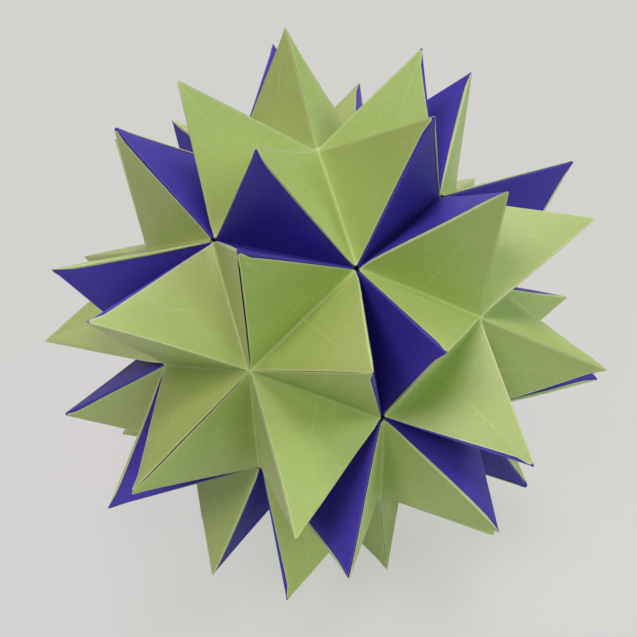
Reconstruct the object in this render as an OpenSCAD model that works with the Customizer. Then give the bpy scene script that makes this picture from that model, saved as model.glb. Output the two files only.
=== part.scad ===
// Kusudama paper ball: thirty folded paper units that lock into twelve five-petalled flowers.
// Each unit is one two-coloured sheet. Its two dark walls fold into a groove between two flowers.
// Beside each wall a doubled face carries a flap, a pocket that covers the tab of the next petal.
// Millimetres, +Z up. The ball stands on the five tips of its lowest flower, above the origin.

/* [Ball] */
// Length of each groove, the fold that two neighbouring flowers share
groove_l = 34.5; // [31:0.5:38]
// Height of a groove's wall, from the fold to the tip of its petal
wall_h = 31.4; // [28:0.2:35]
// Angle between the two walls of a groove, in degrees
groove_angle = 36.5; // [30:0.5:43]
// Depth of each flower's heart below the ring of its five tips
flower_depth = 17.5; // [14:0.5:20]

/* [Paper] */
// Thickness of the paper
paper_t = 0.15; // [0.1:0.01:0.2]
// Clearance between a tab and the flap that covers it
pocket_gap = 0.05; // [0.03:0.01:0.1]
// Width of the open seam along each petal's ridge
seam_gap = 0.2; // [0.1:0.05:0.4]
// Set-back of the folds from the point where three grooves meet
junction_gap = 0.9; // [0.7:0.1:1.4]
// Set-back of the folds from a flower's heart
heart_gap = 0.7; // [0.5:0.1:1.2]
// Height of the point that the layers at a tip are too thick to close
tip_flat = 0.5; // [0.4:0.1:1]
// Depth of the creased-in end of the paper inside a tip
tip_crush = 1.5; // [1.2:0.1:2.5]
// Distance that a tab's end stays away from its petal's ridge and valley
tab_inset = 5; // [3:0.5:8]

/* [Hand folding] */
// One step of a leaning petal, as the leans below count them
lean_step = 0.5; // [0:0.1:0.7]
// How far the other tips stray from their true places
hand_wander = 0.5; // [0:0.1:1]

/* [Hidden] */
PETALS = 5;
petal_turn = 360 / PETALS;

// Rings of units between the rings of flowers, from the top down
RINGS = [
    ["crown", PETALS],
    ["shoulder", PETALS],
    ["waist", 2 * PETALS],
    ["hip", PETALS],
    ["base", PETALS]
];
NODES = [for (ring = RINGS) for (k = [1:ring[1]]) str(ring[0], "_unit_", k)];

flower_colour = "#9fb35c";

// Flowers: one on top, a ring of five above the waist, a ring of five below it and one at the bottom
TOP = 0;
function upper(k) = 1 + k % PETALS;
function lower(k) = 1 + PETALS + k % PETALS;
BOTTOM = 1 + 2 * PETALS;
ring_slope = atan(1 / 2);
function around(turn, slope) = [cos(turn) * cos(slope), sin(turn) * cos(slope), sin(slope)];
EVERY_TURN = [0:PETALS - 1];
FLOWERS = [
    [0, 0, 1],
    for (k = EVERY_TURN) around((k + 1 / 2) * petal_turn, ring_slope),
    for (k = EVERY_TURN) around(k * petal_turn, -ring_slope),
    [0, 0, -1]
];

// The two flowers on either side of each unit's groove, in the order of NODES
GROOVES = [
    for (k = EVERY_TURN) [TOP, upper(k)],
    for (k = EVERY_TURN) [upper(k), upper(k + 1)],
    for (k = EVERY_TURN) each [[upper(k), lower(k)], [upper(k), lower(k + 1)]],
    for (k = EVERY_TURN) [lower(k), lower(k + 1)],
    for (k = EVERY_TURN) [lower(k), BOTTOM]
];

// Leaning petals: the petal's flower and the flower across the groove,
// then steps along the groove, into the flower and outward
LEANS = [
    [TOP, upper(1), 3, 0, 1],
    [TOP, upper(2), 1, 2, 0],
    [upper(0), upper(4), 3, 3, 2],
    [upper(1), TOP, -3, 0, 1],
    [upper(1), upper(2), 1, -1, -4],
    [upper(2), TOP, 0, -2, -1],
    [upper(2), upper(3), 0, 2, 1],
    [upper(2), lower(2), 0, -1, -3],
    [upper(2), lower(3), -1, -1, -2],
    [upper(3), TOP, 4, 2, -2],
    [upper(3), upper(4), -4, -4, 0],
    [upper(3), lower(3), -3, -1, 1],
    [upper(3), lower(4), -2, -3, 1],
    [upper(4), TOP, 0, 2, 0],
    [upper(4), upper(0), 2, 1, 1],
    [upper(4), upper(3), 4, -6, -2],
    [upper(4), lower(0), 3, -1, 0],
    [upper(4), lower(4), 2, -3, -1],
    [lower(0), upper(0), 0, 2, -1],
    [lower(0), upper(4), 2, 0, 1],
    [lower(3), upper(2), 1, 2, -2],
    [lower(3), upper(3), -1, 1, 2],
    [lower(4), upper(3), 3, 2, 0],
    [lower(4), lower(3), -1, 2, 0],
    [lower(4), BOTTOM, -5, 1, -1]
];

// Distances of the corners and of the edges' middles from the middle of a dodecahedron of edge 1
corner_share = sqrt(3) * (1 + sqrt(5)) / 4;
edge_share = (3 + sqrt(5)) / 4;
junction_r = groove_l * corner_share;
tip_r = groove_l * edge_share + wall_h * cos(groove_angle / 2);
tip_off = wall_h * sin(groove_angle / 2);

// Depths under a petal's faces: of a tab and the wall it hangs on, of a doubled face
// and of that face's edge at the ridge
tab_in = paper_t + pocket_gap;
double_t = 2 * paper_t;
ridge_in = paper_t + seam_gap;

function unit(v) = v / norm(v);
function total(list) = [for (k = list) 1] * list;

function neighbours(f, g) = f != g && FLOWERS[f] * FLOWERS[g] > 0;
function turn_of(f, g, h) = cross(FLOWERS[f], FLOWERS[g]) * FLOWERS[h];
function beside(f, g) = [for (h = [0:BOTTOM]) if (neighbours(f, h) && neighbours(g, h)) h];
// The flowers before and after g on the way round f, counter-clockwise as seen from outside
function before(f, g) = [for (h = beside(f, g)) if (turn_of(f, g, h) < 0) h][0];
function after(f, g) = [for (h = beside(f, g)) if (turn_of(f, g, h) > 0) h][0];

function junction(f, g, h) = junction_r * unit(FLOWERS[f] + FLOWERS[g] + FLOWERS[h]);
function groove_out(f, g) = unit(FLOWERS[f] + FLOWERS[g]);
function groove_in(f, g) = unit(FLOWERS[f] - FLOWERS[g]);
function true_tip(f, g) = tip_r * groove_out(f, g) + tip_off * groove_in(f, g);
heart_r = true_tip(TOP, upper(0)).z - flower_depth;

// How far the tip of the petal of flower f, across the groove from flower g, lies from its true place
function seed(f, g) = len(FLOWERS) * f + g;
function wander(f, g) = f == BOTTOM ? [0, 0, 0] : hand_wander * rands(-1, 1, 3, seed(f, g));
function leans_of(f, g) = [
    for (row = LEANS)
        if (row[0] == f && row[1] == g)
            lean_step * [row[2], row[3], row[4]]
];
function stray(f, g) = len(leans_of(f, g)) > 0 ? leans_of(f, g)[0] : wander(f, g);
function tip(f, g) = let (out = groove_out(f, g), into = groove_in(f, g), by = stray(f, g))
    true_tip(f, g) + by.x * cross(out, into) + by.y * into + by.z * out;

// A petal's corners: its tip, the junctions at its doubled face and at its tab, and the flower's heart
TIP = 0;
FIRST = 1;
SECOND = 2;
HEART = 3;
function petal(f, g) = [
    tip(f, g),
    junction(f, g, after(f, g)),
    junction(f, g, before(f, g)),
    heart_r * FLOWERS[f]
];

// Height of corner k over the opposite face, and that face's unit normal towards the corner
function normal(p, k) = let (
    a = p[(k + 1) % 4],
    n = unit(cross(p[(k + 2) % 4] - a, p[(k + 3) % 4] - a))
) n * sign((p[k] - a) * n);
function height(p, k) = (p[k] - p[(k + 1) % 4]) * normal(p, k);

// The point by corner k at these depths under the other faces: open base, second face, first face, wall
function at(p, k, base = 0, second = 0, first = 0, wall = 0) = let (depths = [base, second, first, wall])
    p[k] + total([for (m = [0:3]) if (m != k) depths[m] / height(p, m) * (p[m] - p[k])]);

// The point under a fold, at depth d below the face with normal n and e below the face with normal m
function under(fold, n, d, m, e) = let (c = n * m)
    fold + ((d - c * e) * n + (e - c * d) * m) / (1 - c * c);

// Corners of the sheet on one side of a groove, each as its outer and inner point:
// p is the side's own petal, q the petal that its flap covers
function side_corners(p, q) = let (
    top = height(p, TIP) - tip_flat,
    deep = top - tip_crush,
    flap_top = height(q, TIP) - tip_flat,
    tab_deep = tab_in + paper_t,
    face = normal(p, SECOND),
    cover = normal(q, FIRST),
    valley = [at(p, FIRST, wall = junction_gap), at(p, HEART, second = heart_gap)]
) [
    // wall: ends of its fold with the doubled face and of its fold with the tab
    [
        at(p, FIRST, base = top),
        at(p, FIRST, base = deep, first = double_t, wall = paper_t)
    ],
    [
        at(p, SECOND, base = top, second = tab_in),
        at(p, SECOND, base = deep, second = tab_deep, wall = paper_t)
    ],
    [
        at(p, SECOND, base = junction_gap, second = tab_in),
        at(p, SECOND, base = junction_gap, second = tab_deep, wall = paper_t)
    ],
    [
        at(p, FIRST, base = junction_gap),
        at(p, FIRST, base = junction_gap, first = double_t, wall = paper_t)
    ],
    // doubled face: its edge at the ridge
    [
        at(p, HEART, base = top, second = ridge_in),
        at(p, HEART, base = deep, first = double_t, second = ridge_in)
    ],
    [
        at(p, HEART, base = heart_gap, second = ridge_in),
        at(p, HEART, base = heart_gap, first = double_t, second = ridge_in)
    ],
    // valley fold between the doubled face and the flap
    for (end = valley) [end, under(end, face, double_t, cover, paper_t)],
    // flap: its edges at the ridge and at the groove
    [at(q, HEART, base = heart_gap), at(q, HEART, base = heart_gap, second = paper_t)],
    [at(q, HEART, base = flap_top), at(q, HEART, base = flap_top, second = paper_t)],
    [at(q, SECOND, base = flap_top), at(q, SECOND, base = flap_top, second = paper_t)],
    [at(q, SECOND, base = junction_gap), at(q, SECOND, base = junction_gap, second = paper_t)],
    // tab: its free end
    [
        for (d = [tab_in, tab_deep])
            at(p, HEART, base = tab_inset, second = d, first = tab_inset)
    ]
];
SIDE_CORNERS = len(side_corners(petal(TOP, upper(0)), petal(TOP, upper(1))));

// Ends of the fold along the bottom of the groove between petals p and q
function groove_corners(p, q) = [
    for (end = [at(p, FIRST, first = junction_gap), at(p, SECOND, second = junction_gap)])
        [end, under(end, normal(p, HEART), paper_t, normal(q, HEART), paper_t)]
];

// Panels of the sheet as loops of corners: wall, doubled face, flap and tab of each side
function side_panels(side) = let (
    s = side * SIDE_CORNERS,
    groove_first = 2 * SIDE_CORNERS + side,
    groove_second = 2 * SIDE_CORNERS + 1 - side
) [
    [s, s + 1, s + 2, groove_second, groove_first, s + 3],
    [s, s + 3, s + 6, s + 7, s + 5, s + 4],
    [s + 7, s + 6, s + 11, s + 10, s + 9, s + 8],
    [s + 2, s + 1, s + 12]
];
PANELS = concat(side_panels(0), side_panels(1));
EDGES = [for (loop = PANELS) for (k = [0:len(loop) - 1]) [loop[k], loop[(k + 1) % len(loop)]]];
function shared(edge) = len([for (other = EDGES) if (other == [edge[1], edge[0]]) 1]) > 0;
RIM = [for (edge = EDGES) if (!shared(edge)) edge];
ALL_CORNERS = 2 * SIDE_CORNERS + 2;

function fan(loop) = [for (k = [1:len(loop) - 2]) [loop[0], loop[k], loop[k + 1]]];
function inner(k) = k + ALL_CORNERS;

// One folded sheet, which makes the groove between flowers f and g
module paper_unit(f, g) {
    p = petal(f, g);
    q = petal(g, f);
    corners = concat(
        side_corners(p, petal(f, after(f, g))),
        side_corners(q, petal(g, after(g, f))),
        groove_corners(p, q)
    );
    faces = [
        for (loop = PANELS) each fan([for (k = [len(loop) - 1:-1:0]) loop[k]]),
        for (loop = PANELS) each fan([for (k = loop) inner(k)]),
        for (edge = RIM) each fan([edge[0], edge[1], inner(edge[1]), inner(edge[0])])
    ];
    color(flower_colour)
        polyhedron([for (layer = [0, 1]) for (corner = corners) corner[layer]], faces);
}

// Height of the ball's middle when it stands on the tips of its lowest flower
function ridge_ends(p) = let (top = height(p, TIP) - tip_flat)
    [at(p, HEART, base = top), at(p, HEART, base = top, second = ridge_in)];
stand_h = -min([for (k = EVERY_TURN) for (end = ridge_ends(petal(BOTTOM, lower(k)))) end.z]);

for (k = [0:len(NODES) - 1])
    translate([0, 0, stand_h])
            paper_unit(GROOVES[k][0], GROOVES[k][1]);
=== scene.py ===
"""Kusudama paper ball, folded unit by unit from two-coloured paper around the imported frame.

Each unit is one sheet. Its flat grids are drawn once, and every copy is folded onto the petals of the frame:
two walls along a groove, two leaves of doubled face and flap, two rolled rims and two tabs.
"""

import logging
import math
from dataclasses import dataclass
from enum import Enum, IntEnum
from typing import Iterator

import bpy
import numpy as np
from mathutils import Matrix, Vector, noise


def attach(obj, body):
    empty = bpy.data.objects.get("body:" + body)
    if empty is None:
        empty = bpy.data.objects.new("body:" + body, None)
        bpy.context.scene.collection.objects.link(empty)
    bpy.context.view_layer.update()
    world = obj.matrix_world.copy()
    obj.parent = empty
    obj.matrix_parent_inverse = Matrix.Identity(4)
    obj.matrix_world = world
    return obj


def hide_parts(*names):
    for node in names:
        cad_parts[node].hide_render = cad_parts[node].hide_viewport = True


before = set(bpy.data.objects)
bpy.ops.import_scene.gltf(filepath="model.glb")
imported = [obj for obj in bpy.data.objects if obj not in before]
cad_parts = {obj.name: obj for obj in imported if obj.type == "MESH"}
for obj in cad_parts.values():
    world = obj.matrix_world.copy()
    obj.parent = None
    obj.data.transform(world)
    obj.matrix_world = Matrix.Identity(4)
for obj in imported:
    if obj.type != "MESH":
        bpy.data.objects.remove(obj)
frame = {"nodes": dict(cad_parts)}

LOG = logging.getLogger("paper_ball")
MM = 0.001  # metres in a millimetre
BODY = "root"

PETALS = 5  # petals of a flower, and flowers of a ring
TOP = 0  # number of the top flower
BOTTOM = 1 + 2 * PETALS  # number of the bottom flower
FAR = 99.0  # stands for a distance that matters to no finish, in millimetres
TINY = 1e-9  # keeps a division from zero

Colour = tuple[float, float, float, float]


def unit(vector: np.ndarray) -> np.ndarray:
    """Scales a vector to length 1."""
    return vector / np.linalg.norm(vector)


def ease(values: np.ndarray, reach: float) -> np.ndarray:
    """Rises smoothly from 0 at zero to 1 at reach."""
    share = np.clip(values / reach, 0, 1)
    return share * share * (3 - 2 * share)


def fold_angle(one: np.ndarray, other: np.ndarray) -> float:
    """Angle between two faces, on the side where it is under 180 degrees.

    Args:
        one: outward normal of the first face.
        other: outward normal of the second face.

    Returns:
        The angle in radians.
    """
    return math.pi - math.acos(float(np.clip(one @ other, -1, 1)))


def hump(shares: np.ndarray) -> np.ndarray:
    """1 at a share of one half, falling to 0 at 0 and 1."""
    return 4 * shares * (1 - shares)


def direction(turn: float, slope: float) -> Vector:
    """Unit direction at a turn round the upright axis and a slope above the level, both in degrees."""
    return Vector(BallPattern.axis(math.radians(turn), math.radians(slope)))


def srgb(red: int, green: int, blue: int) -> Colour:
    """Turns a colour as seen on a screen into the shader's linear values, by the usual screen curve.

    Args:
        red: red channel, 0 to 255.
        green: green channel, 0 to 255.
        blue: blue channel, 0 to 255.

    Returns:
        The colour, with an alpha of 1.
    """
    shares = (channel / 255 for channel in (red, green, blue))
    linear = [s / 12.92 if s <= 0.04045 else ((s + 0.055) / 1.055) ** 2.4 for s in shares]
    return (*linear, 1.0)


class Ring(Enum):
    """Rings of units, from the top of the ball down."""

    CROWN = "crown"
    SHOULDER = "shoulder"
    WAIST = "waist"
    HIP = "hip"
    BASE = "base"


class Corner(IntEnum):
    """Corners of a petal: tip, junction at its doubled face, junction at its tab, and the flower's heart."""

    TIP = 0
    FIRST = 1
    SECOND = 2
    HEART = 3


class Sheet(IntEnum):
    """Grids that make up one unit."""

    TROUGH = 0
    LEAF_A = 1
    LEAF_B = 2
    RIM_A = 3
    RIM_B = 4
    TAB_A = 5
    TAB_B = 6


class Side(IntEnum):
    """Material slots of a unit: both colours outside, both colours inside, and the cut edge of either."""

    FLOWER = 0
    GROOVE = 1
    FLOWER_BACK = 2
    GROOVE_BACK = 3
    FLOWER_CUT = 4
    GROOVE_CUT = 5


class Ray(Enum):
    """Kinds of rays that a shader can tell apart."""

    CAMERA = "Is Camera Ray"
    GLOSSY = "Is Glossy Ray"


@dataclass(frozen=True)
class BallSizes:
    """Sizes that the ball was folded to, as in the frame, in millimetres and radians."""

    groove_l: float = 34.5  # length of a groove, from junction to junction
    wall_h: float = 31.4  # height of a wall, from the groove to the tip
    groove_angle: float = math.radians(36.5)  # between the two walls of a groove
    flower_depth: float = 17.5  # depth of a heart under the tips of its flower
    tip_flat: float = 0.5  # height that is cut off a tip in the frame
    ridge_in: float = 0.35  # depth of a doubled face's edge at the ridge in the frame
    tip_room: float = 8.0  # the farthest that a tip leans
    tip_level: float = 0.02  # how level the corners of a tip's flat lie


@dataclass(frozen=True)
class FoldSizes:
    """How the paper is folded and lapped, in millimetres and shares."""

    paper_t: float = 0.15  # thickness of the paper
    tab_in: float = 0.2  # depth of a tab under the face that its flap covers
    closed_in: float = 0.12  # depth of a doubled face's edge where its seam is shut
    open_in: float = 0.5  # depth of that edge where the seam stands wide open
    open_back: float = 0.45  # set-back of the flap's edge where the seam stands wide open
    fold_w: float = 0.22  # width that the groove's fold takes up on each side
    tab_w: float = 0.45  # the same at the fold between wall and tab
    valley_w: float = 1.2  # the same at the fold in the flower
    rim_w: float = 0.6  # the same at the rolled rim
    rim_lift: float = 0.16  # how far the rim stands off the wall
    lap_tip: float = 0.85  # how far the rim laps onto the wall by the tip
    lap_root: float = 0.4  # how far it laps by the junction
    lap_ease: float = 14.0  # height over which the lap grows
    lap_least: float = 0.15  # share of the lap that is left at the tip itself
    lap_round: float = 0.8  # largest share of the lap that its fold takes up
    show_tip: float = 1.15  # strip that the flap leaves bare by the tip
    show_root: float = 0.35  # strip that it leaves bare by the junction
    junction_cut: float = 0.5  # how far the corners at a junction are cut back
    junction_reach: float = 4.5  # height over which that cut runs out
    heart_cut: float = -0.2  # how far the corners at a heart are cut back, or run past it if negative
    heart_reach: float = 2.0  # height over which that cut runs out
    tip_cut: float = 0.45  # how far below its point a tip ends
    tip_round: float = 0.16  # radius of a tip
    end_round: float = 0.5  # share of a shorter end that adds to that radius
    root_ease: float = 2.0  # height over which the edges leave a corner
    root_least: float = 0.05  # share of the rim's fold that is left at the corner itself
    tab_inset: float = 5.0  # distance of the tab's end from the other faces
    tab_end: float = 0.3  # width of the tab's end, as a share of its start
    tab_crowd: float = 1.5  # how much closer the tab's columns stand by its fold
    narrow: float = 0.3  # largest share of a row that a fold takes up
    flap_lift: float = 0.2  # how far a flap lifts at a seam that stands wide open
    flap_lift_w: float = 5.0  # width of the strip that lifts
    bulge_in: float = -0.4  # the most that a face bows inward
    bulge_out: float = 0.6  # the most that a face bows outward
    wander: float = 0.25  # how far an unsteady hand strays
    wander_l: float = 20.0  # length over which it strays


@dataclass(frozen=True)
class GridSizes:
    """How finely the sheet is divided, in millimetres and counts."""

    margins: tuple[float, ...] = (0.0, 0.18, 0.36, 0.6, 1.0)  # columns' distances from each end of a row
    margin_room: float = 4.4  # narrowest row with full margins
    columns: int = 21  # points across a face
    first_rows: tuple[float, ...] = (0.0, 0.14, 0.3, 0.5, 0.9)  # heights of the rows by the fold
    middle_rows: int = 12  # rows between the first and the last ones
    last_rows: tuple[float, ...] = (0.8, 0.35, 0.14, 0.05, 0.0)  # distances of the last rows from the end
    rim_columns: int = 7  # points across a rim
    tab_columns: int = 8  # points across a tab

    @property
    def rows(self) -> int:
        """Rows of one face, from its fold to its tip."""
        return len(self.first_rows) + self.middle_rows + len(self.last_rows) - 1

    def heights(self, top: float, cut: float) -> np.ndarray:
        """Heights of a face's rows over its base.

        Args:
            top: height of the face's tip.
            cut: how far below the tip the paper ends.

        Returns:
            One height for each row, from the base up.
        """
        last = [top - cut - row for row in self.last_rows]
        middle = np.linspace(self.first_rows[-1], last[0], self.middle_rows + 1)[1:]
        return np.array([*self.first_rows, *middle, *last[1:]])

    def places(self, widths: np.ndarray) -> np.ndarray:
        """Distances of the columns from the left end of each row.

        Args:
            widths: width of each row.

        Returns:
            An array of rows by columns, closest together at both ends.
        """
        scale = np.minimum(1, widths / self.margin_room)[:, None]
        left = scale * np.array(self.margins)
        right = widths[:, None] - left[:, ::-1]
        inner = self.columns - 2 * len(self.margins)
        shares = np.linspace(0, 1, inner + 2)[1:-1]
        middle = left[:, -1:] + (right[:, :1] - left[:, -1:]) * shares
        return np.concatenate([left, middle, right], axis=1)


@dataclass(frozen=True)
class TipEnd:
    """How much shorter than usual the layers end at a petal's tip, in millimetres."""

    wall: float = 0.0
    leaf: float = 0.0
    flap: float = 0.45


@dataclass(frozen=True)
class Petal:
    """One hollow spike: a wall on the groove, two faces in the flower and an open base."""

    corners: np.ndarray

    def normal(self, corner: Corner) -> np.ndarray:
        """Unit normal of the face opposite a corner.

        Args:
            corner: the corner.

        Returns:
            The normal, which points out of the petal.
        """
        a, b, c = (self.corners[(corner + step) % len(Corner)] for step in (1, 2, 3))
        normal = unit(np.cross(b - a, c - a))
        return -normal * np.sign((self.corners[corner] - a) @ normal)

    def height(self, corner: Corner) -> float:
        """Height of a corner over the opposite face."""
        return float((self.corners[(corner + 1) % len(Corner)] - self.corners[corner]) @ self.normal(corner))

    def at(self, corner: Corner, depths: dict[Corner, float]) -> np.ndarray:
        """The point by a corner that lies at the given depths under faces.

        Args:
            corner: the corner to start from.
            depths: depth under the face opposite each of the other corners, zero where it isn't given.

        Returns:
            The point.
        """
        start = self.corners[corner]
        moves = [d / self.height(k) * (self.corners[k] - start) for k, d in depths.items()]
        return start + sum(moves)


class BallPattern:
    """The ball's twelve flowers, its junctions and its petals, about the middle of the ball."""

    # How far the visible seams stand open, by a petal's flower and the flower across its groove
    SEAMS = {
        (0, 1): 0.0, (0, 2): 0.25, (0, 3): 0.0, (0, 4): 0.0, (0, 5): 0.6,
        (4, 0): 0.9, (4, 3): 0.4, (4, 5): 0.3, (4, 9): 0.55, (4, 10): 0.25,
        (5, 0): 0.0, (5, 1): 0.05, (5, 4): 0.0, (5, 6): 0.3, (5, 10): 0.0,
        (10, 5): 0.0, (10, 11): 0.5,
    }
    # How the visible tips end, where they aren't as the rest
    ENDS = {
        (0, 4): TipEnd(0.0, 0.9, 0.9),
        (4, 10): TipEnd(0.0, 0.0, 1.5),
        (6, 5): TipEnd(0.6, 0.6, 1.6),
        (6, 10): TipEnd(0.6, 0.6, 2.2),
        (10, 4): TipEnd(0.6, 0.0, 0.0),
    }
    SEAM_SEED = 17
    SEAM_STRAY = 0.3
    END_STRAY = 0.25
    # Shares of the twelve flowers' even layout: slope of a ring, and a junction's and a groove's distance
    RING_SLOPE = math.atan(0.5)
    CORNER_SHARE = math.sqrt(3) * (1 + math.sqrt(5)) / 4
    EDGE_SHARE = (3 + math.sqrt(5)) / 4

    def __init__(self, sizes: BallSizes) -> None:
        """Works out the flowers, the heart's distance and the height of the ball's middle.

        Args:
            sizes: sizes that the ball was folded to.
        """
        self.sizes = sizes
        turn = math.tau / PETALS
        upper = [self.axis((k + 0.5) * turn, self.RING_SLOPE) for k in range(PETALS)]
        lower = [self.axis(k * turn, -self.RING_SLOPE) for k in range(PETALS)]
        self.flowers = np.array([(0, 0, 1), *upper, *lower, (0, 0, -1)], float)
        self.tips: dict[tuple[int, int], np.ndarray] = {}
        self.heart_r = self.true_tip(TOP, self.upper(0))[2] - sizes.flower_depth
        foot = self.petal(BOTTOM, self.lower(0))
        top = foot.height(Corner.TIP) - sizes.tip_flat
        ends = [
            foot.at(Corner.HEART, {Corner.TIP: top}),
            foot.at(Corner.HEART, {Corner.TIP: top, Corner.FIRST: sizes.ridge_in}),
        ]
        self.middle = np.array([0, 0, -min(end[2] for end in ends)])

    @staticmethod
    def axis(turn: float, slope: float) -> tuple[float, float, float]:
        """Unit direction at a turn round the upright axis and a slope above the level, both in radians."""
        return math.cos(turn) * math.cos(slope), math.sin(turn) * math.cos(slope), math.sin(slope)

    @staticmethod
    def upper(k: int) -> int:
        """Number of a flower in the ring above the waist."""
        return 1 + k % PETALS

    @staticmethod
    def lower(k: int) -> int:
        """Number of a flower in the ring below the waist."""
        return 1 + PETALS + k % PETALS

    def pairs(self, ring: Ring, k: int) -> list[tuple[int, int]]:
        """Flowers on either side of the grooves that a ring has at one of its five places.

        Args:
            ring: the ring.
            k: the place, counted round the ball.

        Returns:
            A pair of flowers for each groove there.
        """
        up, down = self.upper(k), self.lower(k)
        return {
            Ring.CROWN: [(TOP, up)],
            Ring.SHOULDER: [(up, self.upper(k + 1))],
            Ring.WAIST: [(up, down), (up, self.lower(k + 1))],
            Ring.HIP: [(down, self.lower(k + 1))],
            Ring.BASE: [(down, BOTTOM)],
        }[ring]

    def units(self) -> Iterator[tuple[str, int, int]]:
        """Lists the units.

        Returns:
            Each unit's node and the two flowers on either side of its groove.
        """
        for ring in Ring:
            pairs = [pair for k in range(PETALS) for pair in self.pairs(ring, k)]
            for number, (f, g) in enumerate(pairs, 1):
                yield f"{ring.value}_unit_{number}", f, g

    def beside(self, f: int, g: int, way: int) -> int:
        """The flower next to both of two flowers.

        Args:
            f: the flower to go round, as seen from outside.
            g: the flower to start from.
            way: 1 to go counter-clockwise, -1 to go clockwise.

        Returns:
            The next flower that way.
        """
        axes = self.flowers
        for h in range(len(axes)):
            near = h not in (f, g) and axes[h] @ axes[f] > 0 and axes[h] @ axes[g] > 0
            if near and np.cross(axes[f], axes[g]) @ axes[h] * way > 0:
                return h
        raise ValueError(f"flowers {f} and {g} don't meet")

    def after(self, f: int, g: int) -> int:
        """The flower after g on the way round f, counter-clockwise as seen from outside."""
        return self.beside(f, g, 1)

    def junction(self, f: int, g: int, h: int) -> np.ndarray:
        """The point where the grooves of three flowers meet."""
        radius = self.sizes.groove_l * self.CORNER_SHARE
        return radius * unit(self.flowers[f] + self.flowers[g] + self.flowers[h])

    def true_tip(self, f: int, g: int) -> np.ndarray:
        """Where a tip would be on a ball without leans.

        Args:
            f: the tip's flower.
            g: the flower across its groove.

        Returns:
            The tip's place.
        """
        size = self.sizes
        half = size.groove_angle / 2
        out = unit(self.flowers[f] + self.flowers[g])
        into = unit(self.flowers[f] - self.flowers[g])
        reach = size.groove_l * self.EDGE_SHARE + size.wall_h * math.cos(half)
        return reach * out + size.wall_h * math.sin(half) * into

    def petal(self, f: int, g: int) -> Petal:
        """A petal, with its lean if the frame has been read.

        Args:
            f: the petal's flower.
            g: the flower across its groove.

        Returns:
            The petal.
        """
        return Petal(np.array([
            self.tips.get((f, g), self.true_tip(f, g)),
            self.junction(f, g, self.beside(f, g, 1)),
            self.junction(f, g, self.beside(f, g, -1)),
            self.heart_r * self.flowers[f],
        ]))

    def seam(self, f: int, g: int) -> float:
        """How far the seam on a petal's ridge stands open, from 0 to 1."""
        stray = np.random.default_rng([f, g, self.SEAM_SEED]).uniform(0, self.SEAM_STRAY)
        return self.SEAMS.get((f, g), stray)

    def end(self, f: int, g: int) -> TipEnd:
        """How the layers end at a petal's tip."""
        stray = np.random.default_rng([g, f]).uniform(0, self.END_STRAY)
        return self.ENDS.get((f, g), TipEnd(stray, stray, stray + TipEnd.flap))

    def read_tips(self, nodes: dict[str, bpy.types.Object]) -> None:
        """Takes every petal's leaning tip from the corners of its unit in the frame.

        Args:
            nodes: the frame's nodes by name.
        """
        size = self.sizes
        found = {}
        for name, one, other in self.units():
            corners = np.array([v.co for v in nodes[name].data.vertices], float) / MM - self.middle
            for f, g in ((one, other), (other, one)):
                petal = self.petal(f, g)
                tip, first, second, heart = petal.corners
                near = corners[np.linalg.norm(corners - tip, axis=1) < size.tip_room]
                heights = (near - first) @ -petal.normal(Corner.TIP)
                level = heights.max()
                ends = near[heights > level - size.tip_level]
                end = ends[np.argmax(ends @ (first - (second + heart) / 2))]
                found[f, g] = first + (end - first) * (level + size.tip_flat) / level
        self.tips = found


class Face:
    """A flat triangular face of a petal, with its base on a fold and its apex at a tip."""

    def __init__(self, apex: np.ndarray, left: np.ndarray, right: np.ndarray, out: np.ndarray) -> None:
        """Works out the face's height and its directions.

        Args:
            apex: the tip.
            left: one end of the base.
            right: the other end of the base.
            out: outward unit normal.
        """
        self.apex, self.left, self.right, self.out = apex, left, right, out
        self.base_l = float(np.linalg.norm(right - left))
        self.along = (right - left) / self.base_l
        rise = apex - left
        rise = rise - (rise @ self.along) * self.along
        self.top = float(np.linalg.norm(rise))
        self.rise = rise / self.top

    def widths(self, heights: np.ndarray) -> np.ndarray:
        """Width of the face at each height."""
        return self.base_l * (1 - heights / self.top)

    def points(self, heights: np.ndarray, starts: np.ndarray, places: np.ndarray) -> np.ndarray:
        """Flat points of the face.

        Args:
            heights: height of each row over the base.
            starts: set-back of each row from the left edge.
            places: distance of each point from its row's start.

        Returns:
            An array of rows by columns by 3.
        """
        lefts = self.left + (heights / self.top)[:, None] * (self.apex - self.left)
        steps = starts[:, None] + places
        return lefts[:, None, :] + steps[..., None] * self.along

    def inward(self, corner: np.ndarray) -> np.ndarray:
        """In-plane unit normal, into the face, of the edge from the apex to a base corner."""
        normal = unit(np.cross(self.out, self.apex - corner))
        return normal * np.sign((self.left + self.right - 2 * corner) @ normal)

    def crease(self, points: np.ndarray) -> np.ndarray:
        """Distance of points from the line that halves the face from its apex.

        Args:
            points: the points.

        Returns:
            The distances, below zero on the left of the line.
        """
        middle = (self.left + self.right) / 2
        across = unit(np.cross(self.out, self.apex - middle))
        return (points - middle) @ across * np.sign(across @ self.along)


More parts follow.
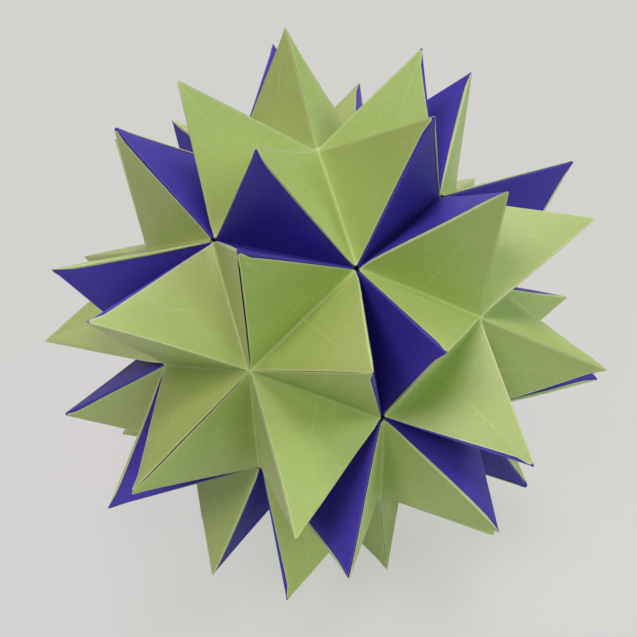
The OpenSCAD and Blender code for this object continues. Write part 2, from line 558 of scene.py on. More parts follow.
@dataclass
class Grid:
    """Points of one grid of the sheet, with their distances from folds, cut edges, valleys and creases."""

    NOTES = ("fold", "raw", "valley", "crease")

    points: np.ndarray
    fold: np.ndarray
    raw: np.ndarray
    valley: np.ndarray
    crease: np.ndarray

    @classmethod
    def plain(cls, points: np.ndarray) -> "Grid":
        """A grid whose points lie far from every fold and edge."""
        far = np.full(points.shape[:2], FAR)
        return cls(points, *(far.copy() for _ in cls.NOTES))

    @staticmethod
    def stacked(lower: "Grid", upper: "Grid") -> "Grid":
        """Joins two grids that share their first row.

        Args:
            lower: the grid that goes first, from its last row to its first.
            upper: the grid that goes on from there.

        Returns:
            The joined grid.
        """
        return Grid(*(
            np.concatenate([getattr(lower, name)[::-1], getattr(upper, name)[1:]])
            for name in ("points", *Grid.NOTES)
        ))

    def turned(self, out: np.ndarray) -> "Grid":
        """Puts the columns in the order that makes the faces look outward.

        Args:
            out: outward normal of the first face.

        Returns:
            The grid, with its columns in order.
        """
        row = len(self.points) // 4  # well away from both tips
        across = self.points[row, -1] - self.points[row, 0]
        down = self.points[row + 1, 0] - self.points[row, 0]
        if np.cross(across, down) @ out > 0:
            return self
        return Grid(*(getattr(self, name)[:, ::-1] for name in ("points", *self.NOTES)))


def round_fold(
    points: np.ndarray,
    on_fold: np.ndarray,
    away: np.ndarray,
    toward: np.ndarray,
    angle: float,
    reach: np.ndarray,
) -> np.ndarray:
    """Bends the points near a fold onto an arc.

    Args:
        points: flat points, rows by columns by 3.
        on_fold: a point on the fold, or one for each row.
        away: unit direction in the face, away from the fold.
        toward: unit normal of the face, to the side where the fold closes.
        angle: angle of the fold in radians.
        reach: flat width that the arc takes up, for each row.

    Returns:
        The bent points.
    """
    reach = np.maximum(reach, TINY)[:, None]
    distance = (points - on_fold) @ away
    turn = (math.pi - angle) / 2 * (1 - np.clip(distance / reach, 0, 1))
    radius = reach * math.tan(angle / 2)
    near = distance < reach
    slide = np.where(near, reach - radius * np.sin(turn) - distance, 0)
    lift = np.where(near, radius * (1 - np.cos(turn)), 0)
    return points + slide[..., None] * away + lift[..., None] * toward


class PaperUnit:
    """One folded sheet, which makes the groove between two flowers."""

    def __init__(
        self, name: str, pattern: BallPattern, flowers: tuple[int, int], folds: FoldSizes, grid: GridSizes
    ) -> None:
        """Takes the petals that the unit makes, and the two that its flaps cover.

        Args:
            name: the unit's node.
            pattern: the ball's pattern.
            flowers: the flowers on either side of the unit's groove.
            folds: how the paper is folded.
            grid: how finely it is divided.
        """
        f, g = flowers
        self.name, self.folds, self.grid = name, folds, grid
        self.petals = (pattern.petal(f, g), pattern.petal(g, f))
        next_to = ((f, pattern.after(f, g)), (g, pattern.after(g, f)))
        self.covered = tuple(pattern.petal(*pair) for pair in next_to)
        self.seams = (pattern.seam(f, g), pattern.seam(g, f))
        self.covered_seams = tuple(pattern.seam(*pair) for pair in next_to)
        self.ends = (pattern.end(f, g), pattern.end(g, f))
        self.covered_ends = tuple(pattern.end(*pair) for pair in next_to)
        self.random = np.random.default_rng([f, g])
        self.walls = [
            Face(
                petal.corners[Corner.TIP],
                self.petals[0].corners[Corner.FIRST],
                self.petals[0].corners[Corner.SECOND],
                petal.normal(Corner.HEART),
            )
            for petal in self.petals
        ]

    def junction_cut(self, heights: np.ndarray) -> np.ndarray:
        """Set-back of the rows where the corner at a junction is rounded off."""
        return self.folds.junction_cut * np.clip(1 - heights / self.folds.junction_reach, 0, 1) ** 2

    def heart_cut(self, heights: np.ndarray) -> np.ndarray:
        """Set-back of the rows where the corner at a heart is rounded off."""
        return self.folds.heart_cut * np.clip(1 - heights / self.folds.heart_reach, 0, 1) ** 2

    def tip_cut(self, heights: np.ndarray, widths: np.ndarray, extra: float) -> np.ndarray:
        """Set-back of the rows at both edges where the tip is rounded off.

        Args:
            heights: height of each row.
            widths: width of each row.
            extra: how much shorter than usual the paper ends.

        Returns:
            The set-back of each row.
        """
        reach = self.folds.tip_round + self.folds.end_round * extra
        share = np.clip(1 - (heights[-1] - heights) / reach, 0, 1)
        return np.minimum(reach * (1 - np.sqrt(1 - share**2)), self.folds.narrow * widths)

    def bulge(self, face: Face, grid: Grid, heights: np.ndarray, low: float, high: float) -> None:
        """Bows a face a little, most in its middle.

        Args:
            face: the face.
            grid: its points, which are moved.
            heights: height of each row.
            low: the most that it bows inward, as a negative number.
            high: the most that it bows outward.
        """
        amount = self.random.uniform(low, high)
        share = np.linalg.norm(grid.points - grid.points[:, :1], axis=2)
        share = share / np.maximum(share[:, -1:], TINY)
        bow = amount * hump(heights / face.top)[:, None] * hump(share)
        grid.points += bow[..., None] * face.out

    def tab_fold(self, side: int) -> float:
        """Set-back, along the groove, of the wall's fold with its tab."""
        petal, wall = self.petals[side], self.walls[side]
        return self.folds.tab_in / abs(wall.along @ petal.normal(Corner.FIRST))

    def wall(self, side: int) -> Grid:
        """The wall on one side of the groove, from the groove to the tip.

        Args:
            side: 0 for the first flower, 1 for the second.

        Returns:
            Its grid, with the tab's fold rounded over.
        """
        folds, face, petal = self.folds, self.walls[side], self.petals[side]
        heights = self.grid.heights(face.top, folds.tip_cut + self.ends[side].wall)
        widths = face.widths(heights)
        scale = np.minimum(1, widths / self.grid.margin_room) * ease(heights, folds.root_ease)
        cut = self.junction_cut(heights) + self.tip_cut(heights, widths, self.ends[side].wall)
        under_rim = cut + folds.lap_root * scale
        at_tab = cut + self.tab_fold(side) * np.minimum(1, widths) * ease(heights, folds.root_ease)
        starts, stops = (under_rim, at_tab) if side == 0 else (at_tab, under_rim)
        places = self.grid.places(widths - starts - stops)
        grid = Grid.plain(face.points(heights, starts, places))
        self.bulge(face, grid, heights, folds.bulge_in, folds.bulge_out)

        tab_column = -1 if side == 0 else 0
        away = face.inward(petal.corners[Corner.SECOND])
        on_fold = grid.points[:, tab_column][:, None, :]
        grid.fold = np.abs((grid.points - on_fold) @ away)
        reach = np.minimum(folds.tab_w, folds.narrow * widths) * ease(heights, folds.root_ease)
        angle = fold_angle(face.out, petal.normal(Corner.FIRST))
        grid.points = round_fold(grid.points, on_fold, away, -face.out, angle, reach)

        groove = fold_angle(self.walls[0].out, self.walls[1].out)
        reach = np.full(len(heights), folds.fold_w)
        grid.points = round_fold(grid.points, face.left, face.rise, face.out, groove, reach)
        return grid

    def tab(self, side: int, wall: Grid) -> Grid:
        """The tab that goes on from the wall, under the next unit's flap.

        Args:
            side: 0 for the first flower, 1 for the second.
            wall: the wall's grid.

        Returns:
            The tab's grid.
        """
        folds, petal = self.folds, self.petals[side]
        start = wall.points[:, -1 if side == 0 else 0]
        depths = {Corner.TIP: folds.tab_inset, Corner.FIRST: folds.tab_in, Corner.SECOND: folds.tab_inset}
        end = petal.at(Corner.HEART, depths)
        middle = start[len(start) // 2]
        ends = end + folds.tab_end * (start - middle)
        shares = np.linspace(0, 1, self.grid.tab_columns) ** folds.tab_crowd
        points = start[:, None, :] + shares[None, :, None] * (ends - start)[:, None, :]
        sunk = petal.normal(Corner.FIRST)
        depth = (points - petal.corners[Corner.TIP]) @ sunk + folds.tab_in
        near = shares[None, :] > 0
        points = points - np.where(near, depth, 0)[..., None] * sunk
        grid = Grid.plain(points)
        grid.fold = np.linalg.norm(points - start[:, None, :], axis=2)
        return grid

    def leaf(self, side: int) -> tuple[Grid, Grid]:
        """The doubled face of a petal with the flap that goes on from it, and the rim that laps on the wall.

        Args:
            side: 0 for the first flower, 1 for the second.

        Returns:
            The leaf's grid, doubled face first, and the rim's grid.
        """
        folds, petal, next_petal = self.folds, self.petals[side], self.covered[side]
        junction, heart = petal.corners[Corner.FIRST], petal.corners[Corner.HEART]
        doubled = Face(petal.corners[Corner.TIP], junction, heart, petal.normal(Corner.SECOND))
        flap = Face(next_petal.corners[Corner.TIP], junction, heart, next_petal.normal(Corner.FIRST))
        valley = fold_angle(doubled.out, flap.out)

        face, rim = self.doubled_face(side, doubled)
        cover = self.flap_face(side, flap)
        cuts = self.ends[side].leaf, self.covered_ends[side].flap
        for part, grid, cut in zip((doubled, flap), (face, cover), cuts):
            heights = self.grid.heights(part.top, folds.tip_cut + cut)
            grid.valley = np.repeat(heights[:, None], grid.points.shape[1], axis=1)
            grid.crease = part.crease(grid.points)
            reach = np.full(len(heights), folds.valley_w)
            grid.points = round_fold(grid.points, part.left, part.rise, part.out, valley, reach)
        return Grid.stacked(face, cover), rim

    def doubled_face(self, side: int, face: Face) -> tuple[Grid, Grid]:
        """The doubled face of a petal, with the rolled rim that laps onto its wall.

        Args:
            side: 0 for the first flower, 1 for the second.
            face: the flat face.

        Returns:
            The face's grid and the rim's grid.
        """
        folds, petal, wall = self.folds, self.petals[side], self.walls[side]
        heights = self.grid.heights(face.top, folds.tip_cut + self.ends[side].leaf)
        widths = face.widths(heights)
        root = ease(heights, folds.root_ease)
        thin = np.minimum(1, widths / self.grid.margin_room)
        angle = fold_angle(face.out, wall.out)
        away = face.inward(petal.corners[Corner.FIRST])
        proud = folds.rim_lift / math.sin(angle) / abs(face.along @ away)
        ridge_angle = fold_angle(face.out, petal.normal(Corner.FIRST))
        depth = folds.closed_in + (folds.open_in - folds.closed_in) * self.seams[side]
        back = depth / math.sin(ridge_angle) / abs(face.along @ face.inward(petal.corners[Corner.HEART]))
        rounded = self.tip_cut(heights, widths, self.ends[side].leaf)
        starts = self.junction_cut(heights) - proud * root * thin + rounded
        stops = self.heart_cut(heights) + back * thin * root + rounded
        places = self.grid.places(widths - starts - stops)
        grid = Grid.plain(face.points(heights, starts, places))
        self.bulge(face, grid, heights, folds.bulge_in, folds.bulge_out)
        grid.raw = np.linalg.norm(grid.points - grid.points[:, -1:], axis=2)

        laps = folds.lap_root + (folds.lap_tip - folds.lap_root) * ease(heights, folds.lap_ease)
        laps = laps * np.maximum(thin, folds.lap_least)
        reach = np.minimum(np.minimum(folds.rim_w, folds.narrow * widths), folds.lap_round * laps)
        reach = reach * np.maximum(root, folds.root_least)
        on_fold = grid.points[:, :1].copy()
        grid.fold = np.abs((grid.points - on_fold) @ away)
        shares = np.linspace(0, 1, self.grid.rim_columns)
        over = wall.inward(petal.corners[Corner.FIRST])
        steps = laps[:, None] * shares
        rim = Grid.plain(on_fold + steps[..., None] * over)
        rim.fold, rim.raw = steps, laps[:, None] - steps
        grid.points = round_fold(grid.points, on_fold, away, -face.out, angle, reach)
        rim.points = round_fold(rim.points, on_fold, over, -wall.out, angle, reach)
        return grid, rim

    def flap_face(self, side: int, face: Face) -> Grid:
        """The flap that covers the tab of the next petal.

        Args:
            side: 0 for the first flower, 1 for the second.
            face: the flat face that it lies on.

        Returns:
            The flap's grid.
        """
        folds, petal, end = self.folds, self.covered[side], self.covered_ends[side]
        heights = self.grid.heights(face.top, folds.tip_cut + end.flap)
        widths = face.widths(heights)
        thin = np.minimum(1, widths / self.grid.margin_room) * ease(heights, folds.root_ease)
        shown = folds.show_root + (folds.show_tip - folds.show_root) * heights / face.top
        short = shown / abs(face.along @ face.inward(petal.corners[Corner.SECOND]))
        rounded = self.tip_cut(heights, widths, end.flap)
        starts = self.junction_cut(heights) + short * thin + rounded
        stops = self.heart_cut(heights) + folds.open_back * self.covered_seams[side] * thin + rounded
        places = self.grid.places(widths - starts - stops)
        grid = Grid.plain(face.points(heights, starts, places))
        self.bulge(face, grid, heights, 0.0, folds.bulge_out)
        left = np.linalg.norm(grid.points - grid.points[:, :1], axis=2)
        right = np.linalg.norm(grid.points - grid.points[:, -1:], axis=2)
        grid.raw = np.minimum(left, right)
        lift = folds.flap_lift * self.covered_seams[side] * (1 - ease(right, folds.flap_lift_w))
        lift = lift * hump(heights / face.top)[:, None]
        grid.points += lift[..., None] * face.out
        return grid

    def grids(self) -> dict[Sheet, Grid]:
        """Folds the whole sheet.

        Returns:
            All its grids, with their faces looking outward.
        """
        walls = [self.wall(side) for side in (0, 1)]
        tabs = [self.tab(side, walls[side]) for side in (0, 1)]
        leaves = [self.leaf(side) for side in (0, 1)]
        made = {Sheet.TROUGH: Grid.stacked(*walls).turned(self.walls[0].out)}
        for side, (leaf, rim) in enumerate(leaves):
            petal = self.petals[side]
            made[Sheet.LEAF_A + side] = leaf.turned(petal.normal(Corner.SECOND))
            made[Sheet.RIM_A + side] = rim.turned(self.walls[side].out)
            made[Sheet.TAB_A + side] = tabs[side].turned(petal.normal(Corner.FIRST))
        return made


class FlatSheet:
    """The flat grids of one unit, drawn once and copied for every unit."""

    GROOVE_GRIDS = (Sheet.TROUGH, Sheet.TAB_A, Sheet.TAB_B)
    KEYS = ("grid", "row", "column")

    def __init__(self, grid: GridSizes) -> None:
        """Draws the grids side by side and joins them.

        Args:
            grid: how finely the sheet is divided.
        """
        both = 2 * grid.rows - 1
        self.shapes = {
            Sheet.TROUGH: (both, grid.columns),
            Sheet.LEAF_A: (both, grid.columns),
            Sheet.LEAF_B: (both, grid.columns),
            Sheet.RIM_A: (grid.rows, grid.rim_columns),
            Sheet.RIM_B: (grid.rows, grid.rim_columns),
            Sheet.TAB_A: (grid.rows, grid.tab_columns),
            Sheet.TAB_B: (grid.rows, grid.tab_columns),
        }
        made = [self.draw(sheet, *shape) for sheet, shape in self.shapes.items()]
        select(*made)
        bpy.ops.object.join()
        self.object = bpy.context.view_layer.objects.active
        self.keys = {key: self.read(key) for key in self.KEYS}
        self.colour()

    def draw(self, sheet: Sheet, rows: int, columns: int) -> bpy.types.Object:
        """Draws one flat grid and notes the row and column of every point on it.

        Args:
            sheet: which grid it is.
            rows: points along its height.
            columns: points across it.

        Returns:
            The grid's object.
        """
        bpy.ops.object.select_all(action="DESELECT")
        bpy.ops.mesh.primitive_grid_add(
            x_subdivisions=columns - 1,
            y_subdivisions=rows - 1,
            size=1,
            location=(sheet, 0, 0),
            calc_uvs=False,
        )
        drawn = bpy.context.view_layer.objects.active
        mesh = drawn.data
        places = np.array([v.co for v in mesh.vertices]) + 0.5  # 0 to 1 across the grid
        notes = {
            "grid": np.full(len(places), int(sheet)),
            "row": np.rint(places[:, 1] * (rows - 1)),
            "column": np.rint(places[:, 0] * (columns - 1)),
        }
        for key, values in notes.items():
            mesh.attributes.new(key, "INT", "POINT").data.foreach_set("value", values.astype(np.int32))
        return drawn

    def colour(self) -> None:
        """Gives every face the slot of the colour that it shows outside."""
        for face in self.object.data.polygons:
            sheet = self.keys["grid"][face.vertices[0]]
            face.material_index = Side.GROOVE if sheet in self.GROOVE_GRIDS else Side.FLOWER

    def read(self, key: str) -> np.ndarray:
        """Reads back the notes on every point.

        Args:
            key: which note.

        Returns:
            One number for each point.
        """
        values = np.zeros(len(self.object.data.vertices), np.int32)
        self.object.data.attributes[key].data.foreach_get("value", values)
        return values

    def copy(self, name: str) -> bpy.types.Object:
        """Copies the sheet, with a mesh of its own, to the origin.

        Args:
            name: the copy's name.

        Returns:
            The copy.
        """
        select(self.object)
        bpy.ops.object.duplicate(linked=False)
        copied = bpy.context.view_layer.objects.active
        copied.name = copied.data.name = name
        copied.matrix_world = Matrix.Identity(4)
        for key in self.KEYS:
            copied.data.attributes.remove(copied.data.attributes[key])
        return copied

    def remove(self) -> None:
        """Takes the flat sheet away once all units are folded."""
        mesh = self.object.data
        bpy.data.objects.remove(self.object)
        bpy.data.meshes.remove(mesh)


def select(*objects: bpy.types.Object) -> None:
    """Selects objects alone and makes the first one active.

    Args:
        objects: the objects.
    """
    bpy.ops.object.select_all(action="DESELECT")
    for item in objects:
        item.select_set(True)
    bpy.context.view_layer.objects.active = objects[0]


class Ball:
    """All thirty units, folded and dressed."""

    SMOOTH = math.radians(40)  # sharpest edge that is shaded smooth
    MERGE = 2e-6  # points that lie closer, in metres, become one
    WANDER_SEED = 4

    def __init__(self, pattern: BallPattern, folds: FoldSizes, grid: GridSizes) -> None:
        """Takes the pattern of the ball and the sizes of its folds."""
        self.pattern, self.folds, self.grid = pattern, folds, grid

    def build(self, finishes: "Finishes") -> list[bpy.types.Object]:
        """Folds every unit.

        Args:
            finishes: the paper's materials.

        Returns:
            The units' objects.
        """
        noise.seed_set(self.WANDER_SEED)
        flat = FlatSheet(self.grid)
        made = []
        for name, f, g in self.pattern.units():
            sheet = PaperUnit(name, self.pattern, (f, g), self.folds, self.grid)
            piece = self.fold(flat, sheet)
            finishes.dress(piece)
            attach(piece, BODY)
            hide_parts(name)
            made.append(piece)
            LOG.info("folded %s: %d faces", piece.name, len(piece.data.polygons))
        flat.remove()
        return made

    def wander(self, points: np.ndarray) -> np.ndarray:
        """Moves points as an unsteady hand does, the same way wherever sheets touch.

        Args:
            points: the points, in millimetres.

        Returns:
            The moved points.
        """
        size = self.folds.wander_l
        moves = np.array([noise.noise_vector(Vector(p / size)) for p in points])
        return points + self.folds.wander * moves

    def fold(self, flat: FlatSheet, sheet: PaperUnit) -> bpy.types.Object:
        """Folds one copy of the flat sheet and gives the paper its thickness.

        Args:
            flat: the flat sheet.
            sheet: the unit to fold it into.

        Returns:
            The unit's object.
        """
        piece = flat.copy(f"{sheet.name}_paper")
        keys = flat.keys
        places = np.zeros((len(keys["grid"]), 3))
        notes = {name: np.full(len(places), FAR) for name in Grid.NOTES}
        for number, grid in sheet.grids().items():
            mine = keys["grid"] == number
            spots = keys["row"][mine], keys["column"][mine]
            places[mine] = grid.points[spots]
            for name in notes:
                notes[name][mine] = getattr(grid, name)[spots]
        places = self.wander(places) + self.pattern.middle
        mesh = piece.data
        mesh.vertices.foreach_set("co", (places * MM).astype(np.float32).ravel())
        for name, values in notes.items():
            attribute = mesh.attributes.new(f"{name}_mm", "FLOAT", "POINT")
            attribute.data.foreach_set("value", values.astype(np.float32))
        mesh.update()

        select(piece)
        bpy.ops.object.mode_set(mode="EDIT")
        bpy.ops.mesh.select_all(action="SELECT")
        bpy.ops.mesh.remove_doubles(threshold=self.MERGE)
        bpy.ops.object.mode_set(mode="OBJECT")
        for _ in Side:
            mesh.materials.append(None)
        thick = piece.modifiers.new("paper", "SOLIDIFY")
        thick.thickness = self.folds.paper_t * MM
        thick.offset = -1
        thick.material_offset = Side.FLOWER_BACK
        thick.material_offset_rim = Side.FLOWER_CUT
        bpy.ops.object.modifier_apply(modifier=thick.name)
        bpy.ops.object.shade_smooth_by_angle(angle=self.SMOOTH)
        return piece


class Value:
    """A number in a shader. Python's operators on it add Math nodes."""

    def __init__(self, graph: "Graph", socket: bpy.types.NodeSocket) -> None:
        """Wraps an output socket."""
        self.graph, self.socket = graph, socket

    def math(self, operation: str, *others: "Value | float") -> "Value":
        """Adds a Math node with this value first."""
        return self.graph.math(operation, self, *others)

    def __add__(self, other: "Value | float") -> "Value":
        """Sum."""
        return self.math("ADD", other)

    __radd__ = __add__

    def __sub__(self, other: "Value | float") -> "Value":
        """Difference."""
        return self.math("SUBTRACT", other)

    def __rsub__(self, other: float) -> "Value":
        """Difference from a number."""
        return self.graph.math("SUBTRACT", other, self)

    def __mul__(self, other: "Value | float") -> "Value":
        """Product."""
        return self.math("MULTIPLY", other)

    __rmul__ = __mul__

    def at_most(self, other: "Value | float") -> "Value":
        """The smaller of two values."""
        return self.math("MINIMUM", other)

    def at_least(self, other: "Value | float") -> "Value":
        """The larger of two values."""
        return self.math("MAXIMUM", other)

    def within(self, reach: float) -> "Value":
        """1 where the value is 0, falling smoothly to 0 at reach."""
        return self.graph.smooth(self, 0, reach, 1, 0)


@dataclass(frozen=True)
class Clouds:
    """Cloudy noise in the ball's own space."""

    scale: float  # waves in a metre
    detail: float  # finer layers
    rough: float  # weight of the finer layers
    stretch: tuple[float, float, float] = (1.0, 1.0, 1.0)  # scale along each axis


class Graph:
    """The nodes of one material or of the world."""

    MIDDLE = 0.5  # mean of a noise

    def __init__(self, owner: bpy.types.Material | bpy.types.World) -> None:
        """Takes away the nodes that a material or world starts with.

        Args:
            owner: the material or world.
        """
        owner.use_nodes = True
        self.owner, self.tree = owner, owner.node_tree
        self.tree.nodes.clear()

    def add(self, kind: str, settings: dict | None = None, inputs: dict | None = None) -> bpy.types.Node:
        """Adds a node.

        Args:
            kind: the node's type.
            settings: its properties, which are set first.
            inputs: values or links of its sockets, by name or number.

        Returns:
            The node.
        """
        node = self.tree.nodes.new(kind)
        for key, value in (settings or {}).items():
            setattr(node, key, value)
        for key, value in (inputs or {}).items():
            socket = node.inputs[key]
            if isinstance(value, Value):
                value = value.socket
            if isinstance(value, bpy.types.NodeSocket):
                self.tree.links.new(value, socket)
            else:
                socket.default_value = value
        return node

    def math(self, operation: str, *values: Value | float) -> Value:
        """Adds a Math node on values."""
        node = self.add("ShaderNodeMath", {"operation": operation}, dict(enumerate(values)))
        return Value(self, node.outputs[0])

    def smooth(self, value: Value, low: float, high: float, at_low: float, at_high: float) -> Value:
        """Maps a value smoothly from one span to another.

        Args:
            value: the value.
            low: start of its span.
            high: end of its span.
            at_low: result at the start and before it.
            at_high: result at the end and past it.

        Returns:
            The result.
        """
        node = self.add(
            "ShaderNodeMapRange",
            {"interpolation_type": "SMOOTHSTEP"},
            {"Value": value, "From Min": low, "From Max": high, "To Min": at_low, "To Max": at_high},
        )
        return Value(self, node.outputs["Result"])

    def attribute(self, name: str) -> Value:
        """Reads a number that the mesh holds."""
        return Value(self, self.add("ShaderNodeAttribute", {"attribute_name": name}).outputs["Fac"])

    def ray(self, kind: Ray) -> Value:
        """1 on rays of one kind, 0 on all others."""
        return Value(self, self.add("ShaderNodeLightPath").outputs[kind.value])

    def noise(self, clouds: Clouds) -> Value:
        """Adds cloudy noise.

        Args:
            clouds: how it looks.

        Returns:
            The noise, about 0 to 1.
        """
        place = self.add("ShaderNodeTexCoord").outputs["Object"]
        mapping = self.add("ShaderNodeMapping", None, {"Vector": place, "Scale": clouds.stretch})
        node = self.add("ShaderNodeTexNoise", None, {
            "Vector": mapping.outputs["Vector"],
            "Scale": clouds.scale,
            "Detail": clouds.detail,
            "Roughness": clouds.rough,
        })
        return Value(self, node.outputs["Fac"])

    def blend(
        self, share: Value | float, one: Colour | bpy.types.NodeSocket, other: Colour | bpy.types.NodeSocket
    ) -> bpy.types.NodeSocket:
        """Mixes two colours."""
        node = self.add("ShaderNodeMix", {"data_type": "RGBA"}, {0: share, 6: one, 7: other})
        return node.outputs[2]

    def finish(self, shader: bpy.types.NodeSocket) -> None:
        """Links a shader to the output."""
        kind = "World" if isinstance(self.owner, bpy.types.World) else "Material"
        self.add(f"ShaderNodeOutput{kind}", None, {"Surface": shader})


@dataclass(frozen=True)
class PaperGrain:
    """Surface of the paper, which both colours share: noises, widths in millimetres, and shares."""

    mottle: Clouds = Clouds(45, 3, 0.55)
    fibres: Clouds = Clouds(1700, 3, 0.65, (1.0, 1.0, 0.45))
    pulp: Clouds = Clouds(620, 2, 0.6)
    patches: Clouds = Clouds(80, 2, 0.5)  # where creases show and where they fade
    mottle_span: tuple[float, float] = (0.3, 0.7)
    patch_span: tuple[float, float] = (0.4, 0.62)
    faded: float = 0.1  # how much of a crease shows between the patches
    pulp_share: float = 0.5  # how much the pulp's flecks show
    crease_w: float = 0.34  # half width of a crease
    valley_w: float = 0.7  # half width of the pale line in a valley, a crease mark and a painted fold highlight
    valley_share: float = 0.1  # how much that line shows beside a crease
    raw_w: float = 0.6  # width of the rubbed strip along a cut edge
    fold_w: float = 0.7  # half width of the pale strip along a fold, a painted highlight
    wear_highlight_even: float = 0.55  # share of the wear and painted highlight that is even
    wear_highlight_fibres: float = 0.6  # share that follows the fibres
    fibre_rise: float = 0.6  # heights in the relief
    pulp_rise: float = 0.4
    dent_depth: float = 0.5
    dent_w: float = 0.3  # half width of a crease's dent
    bump: float = 0.12  # strength of the relief
    bump_m: float = 0.0002  # height of the relief in metres
    rough_fibres: float = 0.18  # how much rougher the fibres are
    rough_on_wear_highlight: float = 0.1  # how much smoother the paper is under the wear and painted highlight


@dataclass(frozen=True)
class PaperFinish:
    """One colour of the paper, as it looks when it is new, mottled, worn and creased, with painted
    highlights along its folds and valleys.
    """

    name: str
    face: Colour
    mottle: Colour
    # pale colour of wear at cut edges and of the painted highlight along the rim and tab folds, also used
    # for the pulp's flecks
    wear_highlight_colour: Colour
    # pale colour of creases, also the painted highlight along a valley
    crease: Colour
    wear_highlight_share: float
    crease_share: float
    roughness: float
    specular: float
    sheen: float
    sheen_roughness: float = 0.5
    grain: PaperGrain = PaperGrain()

    def material(self) -> bpy.types.Material:
        """Makes the paper's material.

        Returns:
            The material.
        """
        material, grain = bpy.data.materials.new(self.name), self.grain
        g = Graph(material)
        fold, raw, valley, crease = (g.attribute(f"{name}_mm") for name in Grid.NOTES)
        crease = crease.math("ABSOLUTE")
        fibres, pulp = g.noise(grain.fibres), g.noise(grain.pulp)
        mottled = g.smooth(g.noise(grain.mottle), *grain.mottle_span, 0, 1)
        patches = g.smooth(g.noise(grain.patches), *grain.patch_span, grain.faded, 1)

        colour = g.blend(mottled, self.face, self.mottle)
        colour = g.blend((pulp - g.MIDDLE).at_least(0) * grain.pulp_share, colour, self.wear_highlight_colour)
        # pale lines: creases, and along the valley a crease mark with a painted fold highlight
        lines = crease.within(grain.crease_w) * patches + grain.valley_share * valley.within(grain.valley_w)
        colour = g.blend((lines * self.crease_share).at_most(1), colour, self.crease)
        # pale strip: wear along cut edges, painted highlight along the rim and tab folds
        edges = raw.within(grain.raw_w).at_least(fold.within(grain.fold_w))
        wear_highlight_mask = edges * (grain.wear_highlight_even + grain.wear_highlight_fibres * fibres)
        colour = g.blend((wear_highlight_mask * self.wear_highlight_share).at_most(1), colour, self.wear_highlight_colour)

        dents = grain.dent_depth * crease.within(grain.dent_w)
        bump = g.add("ShaderNodeBump", None, {
            "Strength": grain.bump,
            "Distance": grain.bump_m,
            "Height": grain.fibre_rise * fibres + grain.pulp_rise * pulp - dents,
        })
        rough = self.roughness + grain.rough_fibres * (fibres - g.MIDDLE) - grain.rough_on_wear_highlight * wear_highlight_mask
        shader = g.add("ShaderNodeBsdfPrincipled", None, {
            "Base Color": colour,
            "Roughness": rough,
            "Specular IOR Level": self.specular,
            "Sheen Weight": self.sheen,
            "Sheen Roughness": self.sheen_roughness,
            "Normal": bump.outputs["Normal"],
        })
        g.finish(shader.outputs["BSDF"])
        return material


@dataclass(frozen=True)
class CutEdge:
    """The pale core that shows where the paper is cut."""

    name: str = "paper_core"
    core: Colour = srgb(196, 204, 150)
    stain: Colour = srgb(168, 180, 116)
    fibres: Clouds = Clouds(2200, 2, 0.6)
    roughness: float = 0.8
    rough_fibres: float = 0.15

    def material(self) -> bpy.types.Material:
        """Makes the material of the cut edge.

        Returns:
            The material.
        """
        material = bpy.data.materials.new(self.name)
        g = Graph(material)
        fibres = g.noise(self.fibres)
        shader = g.add("ShaderNodeBsdfPrincipled", None, {
            "Base Color": g.blend(fibres, self.core, self.stain),
            "Roughness": self.roughness + self.rough_fibres * (fibres - g.MIDDLE),
        })
        g.finish(shader.outputs["BSDF"])
        return material


class Finishes:
    """The paper's materials, in the order of a unit's slots."""

    FLOWER = PaperFinish(
        name="flower_paper",
        face=srgb(167, 188, 95),
        mottle=srgb(159, 183, 86),
        wear_highlight_colour=srgb(208, 216, 158),
        crease=srgb(202, 213, 146),
        wear_highlight_share=0.6,
        crease_share=0.3,
        roughness=0.55,
        specular=1.0,
        sheen=0.06,
    )
    GROOVE = PaperFinish(
        name="groove_paper",
        face=srgb(68, 55, 164),
        mottle=srgb(64, 52, 156),
        wear_highlight_colour=srgb(86, 75, 194),
        crease=srgb(78, 67, 174),
        wear_highlight_share=0.4,
        crease_share=0.2,
        roughness=0.6,
        specular=0.32,
        sheen=0.0,
    )

    def __init__(self) -> None:
        """Makes the three materials."""
        flower, groove, cut = self.FLOWER.material(), self.GROOVE.material(), CutEdge().material()
        self.slots = {
            Side.FLOWER: flower,
            Side.GROOVE: groove,
            Side.FLOWER_BACK: groove,
            Side.GROOVE_BACK: flower,
            Side.FLOWER_CUT: cut,
            Side.GROOVE_CUT: groove,
        }

    def dress(self, piece: bpy.types.Object) -> None:
        """Puts the materials in a unit's slots."""
        for side, material in self.slots.items():
            piece.data.materials[side] = material


@dataclass(frozen=True)
class Lamp:
    """A soft area lamp that looks at the ball's middle, in degrees, metres and watts."""

    name: str
    turn: float
    slope: float
    power: float
    colour: tuple[float, float, float] = (1.0, 1.0, 1.0)
    distance: float = 1.2
    size: float = 0.5

    def build(self, target: Vector) -> None:
        """Hangs the lamp.

        Args:
            target: the point it looks at.
        """
        away = direction(self.turn, self.slope)
        data = bpy.data.lights.new(self.name, "AREA")
        data.shape = "DISK"
        data.size = self.size
        data.energy = self.power
        data.color = self.colour
        lamp = bpy.data.objects.new(self.name, data)
        lamp.location = target + self.distance * away
        lamp.rotation_euler = away.to_track_quat("Z", "Y").to_euler()
        bpy.context.scene.collection.objects.link(lamp)


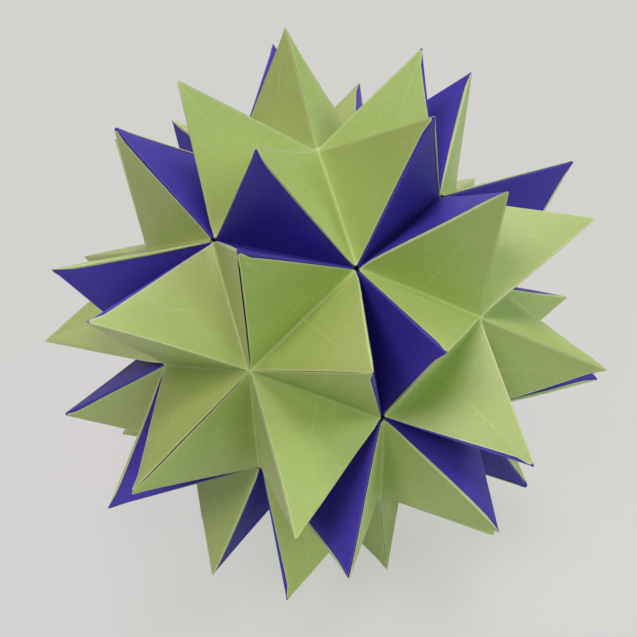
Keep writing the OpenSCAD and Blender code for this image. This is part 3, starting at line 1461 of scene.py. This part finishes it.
@dataclass(frozen=True)
class Studio:
    """Floor, light and camera, in metres, degrees and pixels of the picture."""

    KEY = (0.98, 0.85, 1.0)  # tint of the lamps on the lit side
    FILL = (0.76, 1.0, 0.76)  # tint of the lamps on the shaded side

    picture: int = 637  # width and height of the picture
    focal_px: float = 748.7  # focal length
    ball_px: tuple[float, float] = (324.7, 315.25)  # where the ball's middle is in the picture
    camera_turn: float = -86.71
    camera_slope: float = 41.63
    camera_roll: float = 2.61
    camera_distance: float = 0.2094
    camera_clip: float = 0.01  # nearest that the camera sees
    floor_size: float = 6.0
    floor_colour: Colour = srgb(236, 236, 233)
    floor_shown: Colour = srgb(211, 210, 207)  # grey that the camera sees, with part of the shadow
    floor_even: float = 0.77  # share of that grey under the ball
    floor_near: float = 0.03  # reach of that share
    floor_far: float = 0.2  # distance past which the grey is even
    sky_colour: Colour = srgb(211, 210, 207)
    sky_glossy: float = 0.5  # share of the sky that reflections show
    lamps: tuple[Lamp, ...] = (
        Lamp("top", 0, 86, 5.2, KEY),
        Lamp("front_left", -135, 58, 6.1, KEY),
        Lamp("front_right", -45, 32, 2.5, FILL),
        Lamp("right", 0, 32, 3.4, (0.8, 1.0, 0.82)),
        Lamp("back", 90, 32, 5.3, (0.98, 0.88, 1.0)),
        Lamp("back_right", 45, 58, 1.0),
        Lamp("front_low", -90, 5, 0.7, FILL, size=0.8),
    )

    def floor(self) -> None:
        """Lays the floor."""
        bpy.ops.object.select_all(action="DESELECT")
        bpy.ops.mesh.primitive_plane_add(size=self.floor_size)
        floor = bpy.context.view_layer.objects.active
        floor.name = "floor"
        material = bpy.data.materials.new("pale_floor")
        g = Graph(material)
        place = g.add("ShaderNodeTexCoord").outputs["Object"]
        reach = Value(g, g.add("ShaderNodeVectorMath", {"operation": "LENGTH"}, {0: place}).outputs["Value"])
        even = g.smooth(reach, self.floor_near, self.floor_far, self.floor_even, 1)
        lit = g.add("ShaderNodeBsdfDiffuse", None, {"Color": self.floor_colour})
        shown = g.add("ShaderNodeEmission", None, {"Color": self.floor_shown})
        mixed = g.add("ShaderNodeMixShader", None, {
            0: g.ray(Ray.CAMERA) * even,
            1: lit.outputs["BSDF"],
            2: shown.outputs["Emission"],
        })
        g.finish(mixed.outputs["Shader"])
        floor.data.materials.append(material)

    def sky(self) -> None:
        """Shows the camera a pale wall, and reflections a part of it."""
        world = bpy.data.worlds.new("room")
        bpy.context.scene.world = world
        g = Graph(world)
        seen = g.ray(Ray.CAMERA).at_least(self.sky_glossy * g.ray(Ray.GLOSSY))
        wall = g.add("ShaderNodeBackground", None, {"Color": self.sky_colour, "Strength": seen})
        g.finish(wall.outputs["Background"])

    def camera(self, target: Vector) -> None:
        """Sets the camera where the ball was seen from.

        Args:
            target: the ball's middle.
        """
        back = direction(self.camera_turn, self.camera_slope)
        data = bpy.data.cameras.new("camera")
        data.sensor_fit = "HORIZONTAL"
        data.lens = self.focal_px / self.picture * data.sensor_width
        data.shift_x = (self.picture / 2 - self.ball_px[0]) / self.picture
        data.shift_y = (self.ball_px[1] - self.picture / 2) / self.picture
        data.clip_start = self.camera_clip
        camera = bpy.data.objects.new("camera", data)
        roll = Matrix.Rotation(math.radians(-self.camera_roll), 4, "Z").to_quaternion()
        camera.rotation_euler = (back.to_track_quat("Z", "Y") @ roll).to_euler()
        camera.location = target + self.camera_distance * back
        bpy.context.scene.collection.objects.link(camera)
        bpy.context.scene.camera = camera

    def build(self, target: Vector) -> None:
        """Sets up the whole studio.

        Args:
            target: the ball's middle.
        """
        self.floor()
        self.sky()
        for lamp in self.lamps:
            lamp.build(target)
        self.camera(target)
        bpy.context.scene.view_settings.view_transform = "Standard"


def main() -> None:
    """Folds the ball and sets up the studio."""
    logging.basicConfig(level=logging.INFO, format="%(name)s: %(message)s")
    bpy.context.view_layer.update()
    pattern = BallPattern(BallSizes())
    pattern.read_tips(frame["nodes"])
    ball = Ball(pattern, FoldSizes(), GridSizes())
    pieces = ball.build(Finishes())
    Studio().build(Vector(pattern.middle * MM))
    faces = sum(len(piece.data.polygons) for piece in pieces)
    LOG.info("ball of %d units, %d faces", len(pieces), faces)


if __name__ == "__main__":
    main()
